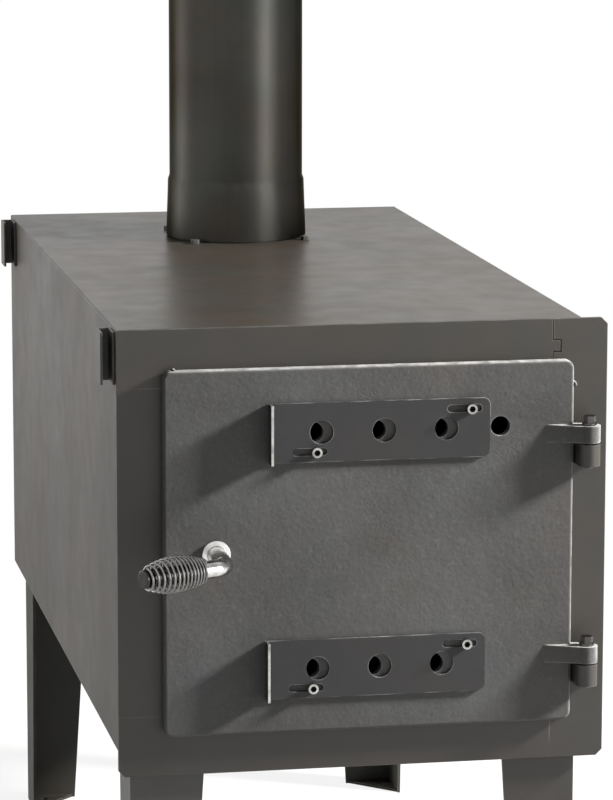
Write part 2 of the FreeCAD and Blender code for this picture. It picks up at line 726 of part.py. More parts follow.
def handle_spring():
    turns = size("spring_turns")
    wire_radius = size("spring_wire_radius")
    quarters = int(round(4 * turns))
    shares = [number / quarters for number in range(quarters + 1)]
    points = [spring_centre(share) for share in shares]
    headings = [spring_heading(share) for share in shares]
    lead = points[0] - headings[0] * 2 * wire_radius
    tail = points[-1] + headings[-1] * 2 * wire_radius
    edges = [Part.LineSegment(lead, points[0]).toShape()]
    for number in range(quarters):
        edges += biarc(points[number], headings[number], points[number + 1], headings[number + 1])
    edges.append(Part.LineSegment(points[-1], tail).toShape())
    path = Part.Wire(edges)
    section = Part.Wire(Part.makeCircle(wire_radius, lead, headings[0]))
    tube = path.makePipeShell([section], True, False)

    # least gap between turns, on points along the wire
    per_turn = 24
    marks = [spring_centre(number / (per_turn * turns)) for number in range(int(per_turn * turns) + 1)]
    apart = [
        (marks[one] - marks[other]).Length
        for one in range(len(marks))
        for other in range(one + per_turn // 2, len(marks))
    ]
    print("spring: least gap between turns %.2f mm, volume %.1f of %.1f" % (
        min(apart) - 2 * wire_radius, tube.Volume, math.pi * wire_radius ** 2 * path.Length))

    doc.recompute()
    shaft = doc.getObject("latch_shaft").Placement.Base
    direction = grip_direction()
    base = Vector(shaft.x, -size("grip_standoff"), shaft.z) + direction * size("spring_start")
    seat = FreeCAD.Placement(base, FreeCAD.Rotation(Vector(0, 0, 1), direction))
    spring = doc.addObject("Part::Feature", "coil")
    spring.Shape = tube.transformed(seat.toMatrix())
    keep("handle_spring", spring)


# Flue
def flue():
    floor = TOP + " - sheet - collar_wall"
    crown = TOP + " + bell_lift + bell_height + collar_seat_gap"
    tube = rod("collar_tube", "z", ("0", FLUE_Y, floor), COLLAR_RADIUS, crown + " - (" + floor + ")")
    flange = rod("collar_flange", "z", ("0", FLUE_Y, floor), "collar_flange_radius", "collar_wall")
    tools = [rod("collar_bore", "z", ("0", FLUE_Y, floor + " - overrun"),
                 COLLAR_RADIUS + " - collar_wall", crown + " - (" + floor + ") + 2 * overrun")]
    bolts = []
    nuts = []
    for number in range(COLLAR_BOLT_COUNT):
        x, y = collar_bolt_place(number)
        name = "collar_bolt_%d" % number
        tools.append(rod(name + "_hole", "z", (x, y, floor + " - overrun"),
                         "collar_bolt_radius + bolt_clearance", "collar_wall + 2 * overrun"))
        head = hexagon(name + "_head", "z", (x, y, TOP), "collar_bolt_head_radius", "collar_bolt_head_height")
        under = floor + " - collar_nut_height"
        length = "sheet + collar_wall + collar_nut_height + bolt_tail"
        shank = rod(name + "_shank", "z", (x, y, under + " - bolt_tail"), "collar_bolt_radius", length)
        bolts.append(fuse(name, head, shank))
        nut = hexagon(name + "_nut", "z", (x, y, under), "collar_bolt_head_radius", "collar_nut_height")
        thread = rod(name + "_thread", "z", (x, y, under + " - overrun"),
                     "collar_bolt_radius + bolt_clearance", "collar_nut_height + 2 * overrun")
        nuts.append(cut(name + "_nut_cut", nut, thread))
    keep("flue_collar", cut("collar_cut", fuse("collar_blank", tube, flange), *tools))
    keep("collar_bolts", group("collar_bolt_set", *bolts))
    keep("collar_nuts", group("collar_nut_set", *nuts))

    foot = TOP + " + bell_lift"
    neck = foot + " + bell_height"
    straight = neck + " + shoulder_height"
    crest = TOP + " + pipe_rise"
    wall = [
        ("bell_foot_radius", foot), ("bell_top_radius", neck),
        ("pipe_radius", straight), ("pipe_radius", crest),
        ("pipe_radius - pipe_wall", crest), ("pipe_radius - pipe_wall", straight),
        ("bell_top_radius - pipe_wall", neck), ("bell_foot_radius - pipe_wall", foot),
    ]
    body = doc.addObject("PartDesign::Body", "pipe")
    sketch = outline(body, "pipe_outline", "XZ_Plane", "0 - " + FLUE_Y, wall)
    turned_pipe = body.newObject("PartDesign::Revolution", "pipe_turn")
    turned_pipe.Profile = sketch
    turned_pipe.ReferenceAxis = (sketch, ["V_Axis"])
    turned_pipe.Angle = 360
    keep("flue_pipe", body)


# Shelf brackets on the left side
def bracket(label, front):
    outer = "0 - %s - bracket_reach" % HALF
    inner = "0 - " + HALF
    back = front + " + bracket_depth"
    channel = [
        (outer, front), (outer + " + bracket_sheet", front),
        (outer + " + bracket_sheet", back + " - bracket_sheet"),
        (inner + " - bracket_sheet", back + " - bracket_sheet"), (inner + " - bracket_sheet", front),
        (inner, front), (inner, back), (outer, back),
    ]
    level = TOP + " - bracket_drop - bracket_height"
    keep(label, slab(label + "_channel", "XY_Plane", level, channel, "bracket_height"))


# Legs
LEG_BOLTS = (("leg_bolt_near", "leg_bolt_far"), ("leg_bolt_far", "leg_bolt_near"))
LEGS = {
    "front_left_leg": (-1, -1),
    "front_right_leg": (1, -1),
    "back_left_leg": (-1, 1),
    "back_right_leg": (1, 1),
}


def leg_corner(side, end):
    """The outer corner of a leg, with side -1 on the left and end -1 at the front."""
    x = "(leg_set_offset + %d * (body_width / 2 - leg_inset_side))" % side
    if end < 0:
        return x, "(plate_thickness + leg_inset_front)"
    return x, "(plate_thickness + body_depth - leg_inset_back)"


def leg_bolt_places():
    places = []
    for side, end in LEGS.values():
        x, y = leg_corner(side, end)
        for across, along in LEG_BOLTS:
            places.append(("%s - %d * %s" % (x, side, across), "%s - %d * %s" % (y, end, along)))
    return places


def leg(label, side, end):
    x, y = leg_corner(side, end)

    def inward(corner, sign, distance):
        return "%s - %d * %s" % (corner, sign, distance)

    def flange(corner, sign):
        return [
            (corner, "0"), (inward(corner, sign, "leg_foot_width"), "0"),
            (inward(corner, sign, "leg_top_width"), "leg_height"), (corner, "leg_height"),
        ]

    def gusset(width):
        return [(x, y), (inward(x, side, width), y), (x, inward(y, end, width))]

    left_face = x if side < 0 else x + " - leg_sheet"
    front_face = y if end < 0 else y + " - leg_sheet"
    pieces = [
        slab(label + "_side", "YZ_Plane", left_face, flange(y, end), "leg_sheet"),
        slab(label + "_face", "XZ_Plane", "0 - (%s)" % front_face, flange(x, side), "leg_sheet"),
        slab(label + "_foot", "XY_Plane", "0", gusset("leg_foot_width"), "leg_sheet"),
        slab(label + "_top", "XY_Plane", "leg_height - leg_sheet", gusset("leg_top_width"), "leg_sheet"),
    ]
    through = "leg_sheet + 2 * overrun"
    holes = [rod(label + "_stake_hole", "z",
                 (inward(x, side, "foot_hole_inset"), inward(y, end, "foot_hole_inset"), "0 - overrun"),
                 "foot_hole_radius", through)]
    for number, (across, along) in enumerate(LEG_BOLTS):
        holes.append(rod("%s_bolt_hole_%d" % (label, number), "z",
                         (inward(x, side, across), inward(y, end, along), "leg_height - leg_sheet - overrun"),
                         "leg_bolt_radius + bolt_clearance", through))
    keep(label, cut(label + "_cut", fuse(label + "_blank", *pieces), *holes))


def leg_fasteners():
    bolts = []
    nuts = []
    for number, (x, y) in enumerate(leg_bolt_places()):
        name = "leg_bolt_%d" % number
        head = hexagon(name + "_head", "z", (x, y, "leg_height - leg_sheet - leg_bolt_head_height"),
                       "leg_bolt_head_radius", "leg_bolt_head_height")
        shank = rod(name + "_shank", "z", (x, y, "leg_height - leg_sheet"), "leg_bolt_radius",
                    "leg_sheet + sheet + leg_nut_height + bolt_tail")
        bolts.append(fuse(name, head, shank))
        nut = hexagon(name + "_nut", "z", (x, y, "leg_height + sheet"), "leg_bolt_head_radius",
                      "leg_nut_height")
        thread = rod(name + "_thread", "z", (x, y, "leg_height + sheet - overrun"),
                     "leg_bolt_radius + bolt_clearance", "leg_nut_height + 2 * overrun")
        nuts.append(cut(name + "_nut_cut", nut, thread))
    keep("leg_bolts", group("leg_bolt_set", *bolts))
    keep("leg_nuts", group("leg_nut_set", *nuts))


# Fire grate
def grate():
    start = "plate_thickness + grate_setback"
    level = "leg_height + sheet + rail_lift"
    wall = HALF + " - sheet"
    for side, x in (("left", "0 - (%s)" % wall), ("right", wall + " - rail_width")):
        strip = block(side + "_rail_strip", (x, start, level),
                      ("rail_width", "grate_length", "rail_thickness"))
        keep(side + "_grate_rail", group(side + "_rail", strip))

    seat = level + " + rail_thickness"
    reach = wall + " - grate_side_gap"
    pieces = []
    for name, y in (("front", start + " + grate_bar_inset"),
                    ("back", start + " + grate_length - grate_bar_inset - grate_bar_width")):
        pieces.append(block("grate_%s_bar" % name, ("0 - (%s)" % reach, y, seat),
                            ("2 * (%s)" % reach, "grate_bar_width", "grate_bar_height")))
    for number in range(GRATE_ROD_COUNT):
        x_share = 2 * number / (GRATE_ROD_COUNT - 1) - 1
        pieces.append(rod("grate_rod_%d" % number, "y",
                          ("%r * (%s - grate_rod_margin)" % (x_share, reach), start,
                           seat + " + grate_bar_height + grate_rod_radius - grate_rod_sink"),
                          "grate_rod_radius", "grate_length"))
    keep("fire_grate", fuse("grate_weldment", *pieces))


def set_origin():
    """Moves every piece so that the origin is under the middle of the stove."""
    boxes = [node.Shape.optimalBoundingBox(False, False) for node in nodes]
    middle_x = (min(box.XMin for box in boxes) + max(box.XMax for box in boxes)) / 2
    middle_y = (min(box.YMin for box in boxes) + max(box.YMax for box in boxes)) / 2
    shift = FreeCAD.Placement(Vector(-middle_x, -middle_y, 0), FreeCAD.Rotation())
    for node in nodes:
        node.Placement = shift.multiply(node.Placement)
    doc.recompute()
    print("origin: x %.3f, y %.3f from the body's centre line and plate face" % (middle_x, middle_y))


def check():
    """Stops if any object failed or any piece is empty or broken."""
    failed = [obj.Name for obj in doc.Objects if "Invalid" in obj.State or "Error" in obj.State]
    broken = [node.Label for node in nodes if node.Shape.isNull() or not node.Shape.isValid()]
    if failed or broken:
        raise RuntimeError("failed objects %s, broken pieces %s" % (failed, broken))


def main():
    top_panel()
    wall_panels()
    front_plate()
    hinge("upper")
    hinge("lower")
    door()
    vent_slide("upper")
    vent_slide("lower")
    vent_fasteners()
    latch()
    handle_spring()
    flue()
    bracket("front_shelf_bracket", "(plate_thickness + bracket_setback)")
    bracket("rear_shelf_bracket", "(plate_thickness + body_depth - rear_bracket_inset - bracket_depth)")
    for label, (side, end) in LEGS.items():
        leg(label, side, end)
    leg_fasteners()
    grate()
    doc.recompute()
    check()
    set_origin()
    check()
    os.makedirs("parts", exist_ok=True)
    for node in nodes:
        node.Shape.exportStep("parts/%s.step" % node.Label)
        print("%-22s %d solids, %.0f mm3" % (node.Label, len(node.Shape.Solids), node.Shape.Volume))


main()
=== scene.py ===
"""Looks of the outdoor wood stove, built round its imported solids. Metres, in the part's own frame."""
import json
import math

import bmesh
import bpy
from mathutils import Matrix, Vector


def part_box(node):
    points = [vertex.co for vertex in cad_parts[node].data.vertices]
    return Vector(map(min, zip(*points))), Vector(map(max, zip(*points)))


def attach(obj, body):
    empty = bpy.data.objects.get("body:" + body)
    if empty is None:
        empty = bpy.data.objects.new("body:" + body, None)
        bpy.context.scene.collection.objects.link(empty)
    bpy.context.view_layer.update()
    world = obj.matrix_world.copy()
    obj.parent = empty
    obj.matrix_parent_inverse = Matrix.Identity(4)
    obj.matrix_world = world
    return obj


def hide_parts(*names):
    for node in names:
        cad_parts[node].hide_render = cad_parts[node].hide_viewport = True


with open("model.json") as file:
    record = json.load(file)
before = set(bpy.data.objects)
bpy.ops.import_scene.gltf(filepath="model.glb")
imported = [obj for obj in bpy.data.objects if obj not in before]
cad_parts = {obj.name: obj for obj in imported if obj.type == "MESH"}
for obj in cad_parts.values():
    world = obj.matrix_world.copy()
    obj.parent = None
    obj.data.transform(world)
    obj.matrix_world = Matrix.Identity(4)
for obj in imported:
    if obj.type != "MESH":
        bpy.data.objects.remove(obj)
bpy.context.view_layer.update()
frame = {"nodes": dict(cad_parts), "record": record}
nodes = frame["nodes"]
record = frame["record"]
body_of = {node: body for body, names in record["behaviour"]["bodies"].items() for node in names}
slot_of = {row["node"]: row["material_slot"] for row in record["subparts"]}


# Node trees
class Nodes:
    """A node tree, filled from nothing."""

    def __init__(self, tree):
        self.tree = tree
        self.tree.nodes.clear()

    def add(self, kind, **settings):
        node = self.tree.nodes.new(kind)
        for key, value in settings.items():
            setattr(node, key, value)
        return node

    def link(self, source, target):
        self.tree.links.new(source, target)

    def span(self, value, low, high, to_low=0.0, to_high=1.0):
        """Carries a value from one range to another, and holds it inside."""
        node = self.add("ShaderNodeMapRange", clamp=True)
        for key, number in zip(("From Min", "From Max", "To Min", "To Max"), (low, high, to_low, to_high)):
            node.inputs[key].default_value = number
        self.link(value, node.inputs["Value"])
        return node.outputs["Result"]

    def maths(self, operation, first, second):
        node = self.add("ShaderNodeMath", operation=operation)
        for socket, value in zip(node.inputs, (first, second)):
            if isinstance(value, (int, float)):
                socket.default_value = value
            else:
                self.link(value, socket)
        return node.outputs["Value"]

    def part(self, vector, axis):
        """One axis of a place or a direction."""
        node = self.add("ShaderNodeSeparateXYZ")
        self.link(vector, node.inputs["Vector"])
        return node.outputs[axis]

    def distance(self, place, point):
        node = self.add("ShaderNodeVectorMath", operation="DISTANCE")
        self.link(place, node.inputs[0])
        node.inputs[1].default_value = point
        return node.outputs["Value"]

    def mixed(self, share, first, second):
        """A shader that goes from the first to the second by a share."""
        node = self.add("ShaderNodeMixShader")
        self.link(share, node.inputs["Fac"])
        self.link(first, node.inputs[1])
        self.link(second, node.inputs[2])
        return node.outputs["Shader"]


# Materials
class Look(Nodes):
    """A procedural material with a principled shader, measured in metres on the object."""

    def __init__(self, name):
        self.material = bpy.data.materials.new(name)
        self.material.use_nodes = True
        super().__init__(self.material.node_tree)
        output = self.add("ShaderNodeOutputMaterial")
        self.shader = self.add("ShaderNodeBsdfPrincipled")
        self.link(self.shader.outputs["BSDF"], output.inputs["Surface"])
        coordinates = self.add("ShaderNodeTexCoord")
        self.where = coordinates.outputs["Object"]
        self.facing = coordinates.outputs["Normal"]

    def stretched(self, scale):
        node = self.add("ShaderNodeMapping")
        node.inputs["Scale"].default_value = scale
        self.link(self.where, node.inputs["Vector"])
        return node.outputs["Vector"]

    def noise(self, scale, detail=3.0, roughness=0.5, distortion=0.0, where=None):
        node = self.add("ShaderNodeTexNoise")
        node.inputs["Scale"].default_value = scale
        node.inputs["Detail"].default_value = detail
        node.inputs["Roughness"].default_value = roughness
        node.inputs["Distortion"].default_value = distortion
        self.link(where or self.where, node.inputs["Vector"])
        return node.outputs["Fac"]

    def cells(self, scale):
        node = self.add("ShaderNodeTexVoronoi", feature="F1")
        node.inputs["Scale"].default_value = scale
        self.link(self.where, node.inputs["Vector"])
        return node.outputs["Distance"]

    def blend(self, share, first, second):
        """Goes from the first colour to the second by a share that varies over the surface."""
        node = self.add("ShaderNodeMix", data_type="RGBA")
        self.link(share, node.inputs[0])
        for socket, value in zip((node.inputs[6], node.inputs[7]), (first, second)):
            if isinstance(value, tuple):
                socket.default_value = (*value, 1.0)
            else:
                self.link(value, socket)
        return node.outputs[2]

    def edges(self, radius, low=0.995, high=0.90):
        """1 on worn outer edges and inner corners, 0 on open faces."""
        bevel = self.add("ShaderNodeBevel", samples=6)
        bevel.inputs["Radius"].default_value = radius
        geometry = self.add("ShaderNodeNewGeometry")
        dot = self.add("ShaderNodeVectorMath", operation="DOT_PRODUCT")
        self.link(bevel.outputs["Normal"], dot.inputs[0])
        self.link(geometry.outputs["Normal"], dot.inputs[1])
        return self.span(dot.outputs["Value"], low, high)

    def near(self, point, inner, outer):
        """1 within the inner distance of a point of the object, 0 beyond the outer one."""
        return self.span(self.distance(self.where, point), inner, outer, 1.0, 0.0)

    def bump(self, height, strength, distance, under=None):
        node = self.add("ShaderNodeBump")
        node.inputs["Strength"].default_value = strength
        node.inputs["Distance"].default_value = distance
        self.link(height, node.inputs["Height"])
        if under is not None:
            self.link(under, node.inputs["Normal"])
        return node.outputs["Normal"]

    def finish(self, color, roughness, normal, metallic=0.0, specular=0.5):
        self.link(color, self.shader.inputs["Base Color"])
        self.link(roughness, self.shader.inputs["Roughness"])
        self.link(normal, self.shader.inputs["Normal"])
        self.shader.inputs["Metallic"].default_value = metallic
        self.shader.inputs["Specular IOR Level"].default_value = specular
        return self.material


# Ranges of a noise: its middle, and the narrower one that gives patches
MIDDLE = (0.3, 0.7)
PATCHES = (0.38, 0.62)
WARM = (1.05, 0.99, 0.93)
COOL = (0.96, 1.00, 0.99)
WORN_PAINT = (0.30, 0.29, 0.27)
# Ground iron on worn edges; the same colour is also a painted highlight on the door's upper and right edges
GROUND_IRON_AND_HIGHLIGHT = (0.40, 0.39, 0.375)
RUBBED_PIPE = (0.20, 0.19, 0.17)
PIPE_SHEEN = (0.35, 0.34, 0.32, 1.0)
SOOT = (0.045, 0.044, 0.042)


def shade(color, share):
    return tuple(channel * share for channel in color)


def tinted(color, tint):
    return tuple(channel * part for channel, part in zip(color, tint))


def layered(look, coarse, fine, coarse_share):
    """A tone from 0 to 1, made of a coarse and a fine pattern."""
    return look.maths("ADD", look.span(coarse, *MIDDLE, 0.0, coarse_share),
                      look.span(fine, *MIDDLE, 0.0, 1.0 - coarse_share))


def mottled(look, color, spread, tone, hue):
    """The colour from darker to lighter by its tone, leaning warm in places and cool in others."""
    warm, cool = (look.blend(tone, shade(tinted(color, tint), 1.0 - spread),
                             shade(tinted(color, tint), 1.0 + spread)) for tint in (WARM, COOL))
    return look.blend(hue, warm, cool)


def painted(name, color, rough, specular=0.22, worn=WORN_PAINT, wear=0.35, haze=0.05):
    """Satin heat-proof paint on sheet steel: cloudy spray, fine peel and rubbed edges."""
    look = Look(name)
    cloud = look.noise(scale=7.0, detail=4.0, roughness=0.55)
    speck = look.noise(scale=70.0, roughness=0.6)
    hue = look.span(look.noise(scale=13.0, detail=2.0), *PATCHES)
    body = mottled(look, color, 0.12, layered(look, cloud, speck, 0.6), hue)
    chips = look.span(look.noise(scale=55.0, detail=4.0), 0.42, 0.68, 0.0, wear)
    surface = look.blend(look.maths("MULTIPLY", look.edges(0.0011), chips), body, worn)
    slow = look.noise(scale=1.0, detail=2.0, where=look.stretched((3.4, 3.4, 1.7)))
    satin = look.maths("ADD", look.span(slow, *MIDDLE, -haze, haze),
                       look.span(look.noise(scale=34.0), *MIDDLE, rough - 0.03, rough + 0.03))
    peel = look.bump(look.noise(scale=1100.0, detail=2.0), strength=0.08, distance=0.0002)
    normal = look.bump(look.noise(scale=9.0, detail=1.0), strength=0.06, distance=0.002, under=peel)
    return look.finish(surface, satin, normal, specular=specular)


def cast(name, color, rough, highlight_before=None, pitted_at=None):
    """Sand-cast iron under thin paint: lumps, grain, pits; a painted highlight on upper and right edges before a
    plane.
    """
    look = Look(name)
    cloud = look.noise(scale=9.0, detail=5.0, roughness=0.6, distortion=0.4)
    grain = look.noise(scale=420.0, detail=4.0, roughness=0.65)
    hue = look.span(look.noise(scale=11.0, detail=2.0), 0.20, 0.80)
    surface = mottled(look, color, 0.27, layered(look, cloud, grain, 0.65), hue)
    rub = look.span(look.noise(scale=60.0, detail=4.0), 0.35, 0.65, 0.1, 0.4)
    surface = look.blend(look.maths("MULTIPLY", look.edges(0.0022, 0.99, 0.80), rub), surface, GROUND_IRON_AND_HIGHLIGHT)
    if highlight_before is not None:
        # Painted highlight: faces turned up or to the right, in front of the plane, take the ground-iron colour
        # where the light glints
        upper = look.span(look.part(look.facing, "Z"), 0.45, 0.95)
        outer = look.span(look.part(look.facing, "X"), 0.45, 0.95, 0.0, 0.6)
        proud = look.span(look.part(look.where, "Y"), highlight_before - 0.0005, highlight_before, 1.0, 0.0)
        rim = look.maths("MULTIPLY", look.maths("MAXIMUM", upper, outer), proud)
        streaks = look.span(look.noise(scale=120.0, detail=4.0), 0.30, 0.62, 0.15, 0.70)
        surface = look.blend(look.maths("MULTIPLY", rim, streaks), surface, GROUND_IRON_AND_HIGHLIGHT)
    patch = look.span(look.noise(scale=26.0, roughness=0.6), 0.62, 0.80, 0.0, 0.6)
    if pitted_at is not None:
        patch = look.maths("MAXIMUM", patch, look.near(pitted_at, 0.006, 0.022))
    pits = look.maths("MULTIPLY", look.span(look.cells(520.0), 0.12, 0.42, 1.0, 0.0), patch)
    surface = look.blend(pits, surface, shade(color, 0.45))
    scuff = look.span(look.noise(scale=170.0, roughness=0.6, distortion=0.6), 0.60, 0.78, 0.0, 0.07)
    surface = look.blend(scuff, surface, GROUND_IRON_AND_HIGHLIGHT)
    satin = look.span(look.noise(scale=130.0, detail=4.0), *MIDDLE, rough - 0.07, rough + 0.07)
    lumps = look.bump(look.noise(scale=45.0, roughness=0.55), strength=0.26, distance=0.0016)
    dimples = look.bump(look.noise(scale=190.0, roughness=0.6), strength=0.26, distance=0.0007, under=lumps)
    sand = look.bump(grain, strength=0.32, distance=0.00035, under=dimples)
    normal = look.bump(look.maths("SUBTRACT", 1.0, pits), strength=0.4, distance=0.0006, under=sand)
    return look.finish(surface, satin, normal, specular=0.12)


def rolled_pipe(name, color, rough):
    """Thin pipe of dark oxidised steel, with faint upright rolling lines."""
    look = Look(name)
    lines = look.noise(scale=1.0, detail=4.0, roughness=0.6, where=look.stretched((260.0, 260.0, 5.0)))
    cloud = look.noise(scale=11.0, detail=4.0, roughness=0.55)
    hue = look.span(look.noise(scale=17.0, detail=2.0), *PATCHES)
    body = mottled(look, color, 0.20, layered(look, cloud, lines, 0.7), hue)
    rub = look.span(look.noise(scale=80.0, detail=4.0), 0.42, 0.66, 0.0, 0.4)
    surface = look.blend(look.maths("MULTIPLY", look.edges(0.0009), rub), body, RUBBED_PIPE)
    satin = look.span(lines, 0.25, 0.75, rough - 0.05, rough + 0.05)
    grain = look.bump(look.noise(scale=900.0, detail=2.0), strength=0.08, distance=0.0002)
    normal = look.bump(lines, strength=0.06, distance=0.0004, under=grain)
    look.shader.inputs["Specular Tint"].default_value = PIPE_SHEEN
    return look.finish(surface, satin, normal, metallic=1.0)


def plated(name, color, rough, dull=0.55, sooty_from=None):
    """Plated or bare steel with draw lines and dull patches, sooty to the left of a plane if one is given."""
    look = Look(name)
    cloud = look.span(look.noise(scale=140.0, detail=4.0, roughness=0.6), 0.35, 0.7)
    body = look.blend(cloud, color, shade(color, dull))
    lines = look.noise(scale=1.0, roughness=0.6, where=look.stretched((700.0, 700.0, 2600.0)))
    satin = look.span(look.noise(scale=220.0), *MIDDLE, rough - 0.06, rough + 0.10)
    if sooty_from is not None:
        soot = look.span(look.part(look.where, "X"), sooty_from - 0.0004, sooty_from + 0.0004, 1.0, 0.0)
        body = look.blend(soot, body, SOOT)
    normal = look.bump(lines, strength=0.12, distance=0.0002)
    return look.finish(body, satin, normal, metallic=1.0)


plate_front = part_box("frame_top_rail")[0].y
slide_low, slide_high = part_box("upper_vent_slide")
pit_patch = (slide_high.x + 0.0155, slide_low.y, (slide_low.z + slide_high.z) / 2 - 0.017)
soot_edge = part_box("handle_spring")[1].x - 0.0015
LOOKS = {
    "painted_steel": painted("painted_steel_sheet", (0.031, 0.028, 0.025), rough=0.46, specular=0.48),
    "cast_iron": cast("cast_iron_door", (0.076, 0.075, 0.075), rough=0.46, highlight_before=plate_front,
                      pitted_at=pit_patch),
    "flue_steel": rolled_pipe("flue_steel_dark", (0.054, 0.0523, 0.0484), rough=0.40),
    "zinc_steel": plated("zinc_plated_steel", (0.72, 0.71, 0.68), rough=0.24),
    "blackened_steel": plated("blackened_steel", (0.12, 0.117, 0.11), rough=0.34, dull=0.6),
    "grate_iron": cast("grate_iron", (0.045, 0.042, 0.039), rough=0.62),
}
SLIDE_LOOK = painted("slide_steel", (0.034, 0.033, 0.034), rough=0.42, worn=(0.45, 0.44, 0.42), wear=0.7)
# The back legs get a duller copy of the paint with less sheen: painted shade, for the shade under the stove
SHADED_LEG_LOOK = painted("painted_steel_shaded_legs", (0.038, 0.036, 0.032), rough=0.50, specular=0.12)
BARE_LOOK = plated("bare_cut_steel", (0.66, 0.65, 0.62), rough=0.34, dull=0.4)
# Near-black paint for the insides of the screw sockets: painted shade in the recesses
SOCKET_SHADE_LOOK = painted("socket_painted_shade", (0.012, 0.012, 0.011), rough=0.6, specular=0.1, wear=0.0)
LOOK_OF = {
    # The top's copy of the paint is darker and warmer: painted shade, to tone down the light on the top
    "top_panel": painted("painted_steel_top", (0.029, 0.025, 0.021), rough=0.35, specular=0.155, haze=0.02),
    # The left side's copy of the paint is lighter: painted light, standing in for the sheen on that side
    "left_side_panel": painted("painted_steel_side", (0.046, 0.040, 0.034), rough=0.46, specular=0.21),
    # The right side's copy of the paint is a little darker and duller: painted shade against the strong light on
    # that side
    "right_side_panel": painted("painted_steel_right", (0.030, 0.027, 0.024), rough=0.47, specular=0.13),
    # The front left leg's copy of the paint is lighter: painted light, for light thrown up from the floor
    "front_left_leg": painted("painted_steel_leg", (0.052, 0.048, 0.044), rough=0.46, specular=0.48),
    "back_left_leg": SHADED_LEG_LOOK,
    "back_right_leg": SHADED_LEG_LOOK,
    "collar_bolts": painted("collar_bolt_black", (0.045, 0.042, 0.038), rough=0.42, specular=0.3),
    "upper_vent_slide": SLIDE_LOOK,
    "lower_vent_slide": SLIDE_LOOK,
    "vent_screws": plated("screw_steel", (0.60, 0.59, 0.56), rough=0.26),
    "latch_rod": plated("latch_rod_steel", (0.76, 0.75, 0.73), rough=0.20, sooty_from=soot_edge),
    "latch_washer": plated("washer_steel", (0.93, 0.93, 0.91), rough=0.30, dull=0.88),
    "handle_spring": plated("spring_steel", (0.30, 0.295, 0.285), rough=0.24, dull=0.6),
}


# Pieces
X, Z = 0, 2
MERGE_REACH = 2e-6
LEVEL_REACH = 1e-5
FLAT_TURN = math.radians(0.4)
SHARP_TURN = math.radians(32.0)
SHADED_TURN = math.radians(40.0)
EASED_STEPS = 2
LEAST_KEPT, MOST_KEPT = 0.90, 1.01
EASE_WIDTHS = {
    0.0002: ("flue_pipe",),
    0.0003: ("flue_collar", "vent_nuts"),
    0.0004: ("top_panel", "left_side_panel", "right_side_panel", "back_panel", "bottom_panel", "upper_vent_slide",
             "lower_vent_slide", "front_shelf_bracket", "rear_shelf_bracket", "left_grate_rail",
             "right_grate_rail", "latch_washer", "latch_spacer", "vent_screws", "collar_nuts", "leg_nuts"),
    0.0005: ("front_left_leg", "front_right_leg", "back_left_leg", "back_right_leg", "upper_hinge_pin",
             "lower_hinge_pin", "latch_tongue", "latch_nut", "collar_bolts", "leg_bolts"),
    0.0006: ("frame_top_rail", "frame_left_stile", "frame_bottom_rail", "frame_hinge_stile", "fire_grate"),
    0.0007: ("door",),
    0.0009: ("latch_rod",),
    0.0012: ("upper_hinge_knuckle", "lower_hinge_knuckle"),
}
EASE = {node: width for width, names in EASE_WIDTHS.items() for node in names}


def placed(name, data):
    """A new object in the scene."""
    holder = bpy.data.objects.new(name, data)
    bpy.context.scene.collection.objects.link(holder)
    return holder


def dress(piece, look):
    piece.data.materials.clear()
    piece.data.materials.append(look)


def solid_size(mesh):
    """The volume a closed mesh holds."""
    work = bmesh.new()
    work.from_mesh(mesh)
    volume = abs(work.calc_volume())
    work.free()
    return volume


def plain_mesh(node):
    """A node's mesh as a joined surface, with flat faces made whole again."""
    mesh = nodes[node].data.copy()
    mesh.name = node + "_dressed"
    if "custom_normal" in mesh.attributes:
        mesh.attributes.remove(mesh.attributes["custom_normal"])
    work = bmesh.new()
    work.from_mesh(mesh)
    bmesh.ops.remove_doubles(work, verts=work.verts, dist=MERGE_REACH)
    bmesh.ops.dissolve_limit(work, angle_limit=FLAT_TURN, verts=work.verts, edges=work.edges)
    return mesh, work


def on_level(edge, axis, level):
    return all(abs(vertex.co[axis] - level) < LEVEL_REACH for vertex in edge.verts)


def hidden_seams(node):
    """The levels at which a piece of the front plate meets the next one with no visible seam."""
    low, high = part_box(node)
    return {"frame_top_rail": [(Z, low.z)],
            "frame_left_stile": [(Z, low.z), (Z, high.z)],
            "frame_bottom_rail": [(Z, high.z), (X, high.x)],
            "frame_hinge_stile": [(X, low.x)]}.get(node, [])


def eased(node, width):
    """Stands a copy with eased edges in a node's place, where easing leaves it whole."""
    whole = solid_size(nodes[node].data)
    mesh, work = plain_mesh(node)
    seams = hidden_seams(node)
    edges = [edge for edge in work.edges if len(edge.link_faces) == 2 and edge.calc_face_angle(0.0) > SHARP_TURN
             and not any(on_level(edge, axis, level) for axis, level in seams)]
    bmesh.ops.bevel(work, geom=edges, offset=width, offset_type="OFFSET", segments=EASED_STEPS, profile=0.5,
                    affect="EDGES", clamp_overlap=True)
    work.to_mesh(mesh)
    work.free()
    left = solid_size(mesh)
    if not LEAST_KEPT * whole < left < MOST_KEPT * whole:
        print("kept as it is:", node, left / whole)
        return nodes[node]
    mesh.shade_smooth()
    mesh.set_sharp_from_angle(angle=SHADED_TURN)
    piece = placed(node + "_eased", mesh)
    weigh = piece.modifiers.new("weighted", "WEIGHTED_NORMAL")
    weigh.keep_sharp = True
    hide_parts(node)
    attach(piece, body_of[node])
    return piece


dressed = {}
for node in sorted(nodes):
    dressed[node] = eased(node, EASE[node]) if node in EASE else nodes[node]
    dress(dressed[node], LOOK_OF.get(node, LOOKS[slot_of[node]]))


# Small places of their own: cut ends of the flanges, screw sockets, casting nubs
CUT_END = 0.0005
SOCKET_RADIUS = 0.00235
SOCKET_RIM = 0.0003
SOCKET_DEPTH = 0.0035


